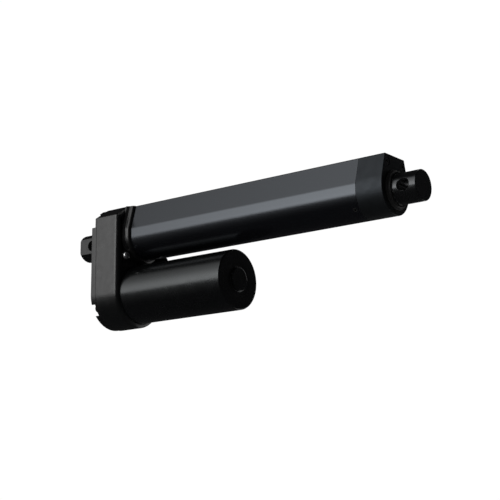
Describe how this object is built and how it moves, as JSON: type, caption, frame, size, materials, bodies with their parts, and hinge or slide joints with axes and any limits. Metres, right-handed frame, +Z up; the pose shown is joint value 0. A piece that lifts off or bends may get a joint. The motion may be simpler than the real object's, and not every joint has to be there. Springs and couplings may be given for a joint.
{
  "type": "linear actuator",
  "caption": "Electric linear actuator: screw-driven rod in a D-section tube with a parallel motor below and pin holes at both ends.",
  "frame": {"origin": "centre of the rear clevis pin hole, on the screw axis", "axes": "+X along the screw and rod, towards the rod end; +Y along the pin holes; +Z up, from the motor towards the tube"},
  "size_m": [0.2874, 0.0472, 0.0866],
  "materials": {
    "housing_black": "satin",
    "tube_black": "satin",
    "cap_black": "satin",
    "rod_black": "satin",
    "motor_black": "satin",
    "zinc_steel": "satin",
    "black_steel": "matte",
    "bright_steel": "gloss",
    "sintered_bronze": "matte",
    "seal_rubber": "matte",
    "acetal_natural": "matte",
    "cam_red": "matte",
    "board_green": "satin",
    "dark_plastic": "matte",
    "card_brown": "matte",
    "ferrite": "matte",
    "lamination_steel": "satin",
    "copper": "satin",
    "carbon": "matte"
  },
  "bodies": {
    "actuator_body": {"rear_clevis": "rod_black", "clevis_screws": "bright_steel", "rear_cover": "housing_black", "cover_gasket": "seal_rubber", "cover_screws": "black_steel", "gearbox_housing": "housing_black", "housing_screws": "zinc_steel", "outer_tube": "tube_black", "tube_screws": "bright_steel", "front_cap": "cap_black", "cap_screws": "black_steel", "cap_grub_screws": "black_steel", "rod_guide_bush": "sintered_bronze", "wiper_seal": "seal_rubber", "cable_gland": "seal_rubber", "limit_board": "board_green", "retract_switch": "dark_plastic", "extend_switch": "dark_plastic", "bearing_outer_race": "bright_steel", "bearing_circlip": "black_steel", "screw_rear_bush": "sintered_bronze", "intermediate_axle": "bright_steel", "motor_can": "motor_black", "motor_end_plate": "housing_black", "motor_screws": "bright_steel", "motor_magnets": "ferrite", "magnet_clips": "bright_steel", "brush_card": "card_brown", "carbon_brushes": "carbon", "brush_springs": "sintered_bronze", "motor_rear_bush": "sintered_bronze", "motor_front_bush": "sintered_bronze"},
    "motor_rotor": {"motor_shaft": "bright_steel", "motor_pinion": "bright_steel", "commutator": "copper", "armature_core": "lamination_steel", "armature_windings": "copper"},
    "intermediate_cluster": {"intermediate_gear": "acetal_natural"},
    "screw_assembly": {"lead_screw": "bright_steel", "screw_gear": "acetal_natural", "gear_key": "bright_steel", "screw_spacer": "bright_steel", "screw_lock_nut": "zinc_steel", "bearing_inner_race": "bright_steel"},
    "bearing_ball_set": {"bearing_balls": "bright_steel", "bearing_cage": "sintered_bronze"},
    "rod_assembly": {"drive_nut": "acetal_natural", "switch_cam": "cam_red", "cam_screws": "zinc_steel", "inner_tube": "rod_black", "rod_end": "rod_black", "rod_end_pin": "bright_steel"},
    "retract_button": {"retract_plunger": "zinc_steel"},
    "extend_button": {"extend_plunger": "zinc_steel"}
  },
  "joints": [
    {"name": "motor_spin", "type": "hinge", "parent": "actuator_body", "child": "motor_rotor", "pos_m": [0.08, 0, -0.0405], "axis": [-1, 0, 0], "range_deg": [0, 60000]},
    {"name": "intermediate_spin", "type": "hinge", "parent": "actuator_body", "child": "intermediate_cluster", "pos_m": [0.027, 0, -0.022], "axis": [-1, 0, 0], "range_deg": [-28800, 0]},
    {"name": "screw_spin", "type": "hinge", "parent": "actuator_body", "child": "screw_assembly", "pos_m": [0.038, 0, 0], "axis": [-1, 0, 0], "range_deg": [0, 10800]},
    {"name": "bearing_ball_orbit", "type": "hinge", "parent": "actuator_body", "child": "bearing_ball_set", "pos_m": [0.038, 0, 0], "axis": [-1, 0, 0], "range_deg": [0, 4200]},
    {"name": "rod_extend", "type": "slide", "parent": "actuator_body", "child": "rod_assembly", "axis": [1, 0, 0], "range_m": [0, 0.15]},
    {"name": "retract_button_press", "type": "slide", "parent": "actuator_body", "child": "retract_button", "axis": [-1, 0, 0], "range_m": [0, 0.0006], "stiffness_N_per_m": 300, "springref_m": -0.0008},
    {"name": "extend_button_press", "type": "slide", "parent": "actuator_body", "child": "extend_button", "axis": [1, 0, 0], "range_m": [0, 0.0006], "stiffness_N_per_m": 300, "springref_m": -0.0008}
  ],
  "couplings": [
    {"joint": "intermediate_spin", "follows": "motor_spin", "ratio": -0.48},
    {"joint": "screw_spin", "follows": "motor_spin", "ratio": 0.18},
    {"joint": "bearing_ball_orbit", "follows": "motor_spin", "ratio": 0.07},
    {"joint": "rod_extend", "follows": "motor_spin", "m_per_rad": 0.00014324}
  ]
}
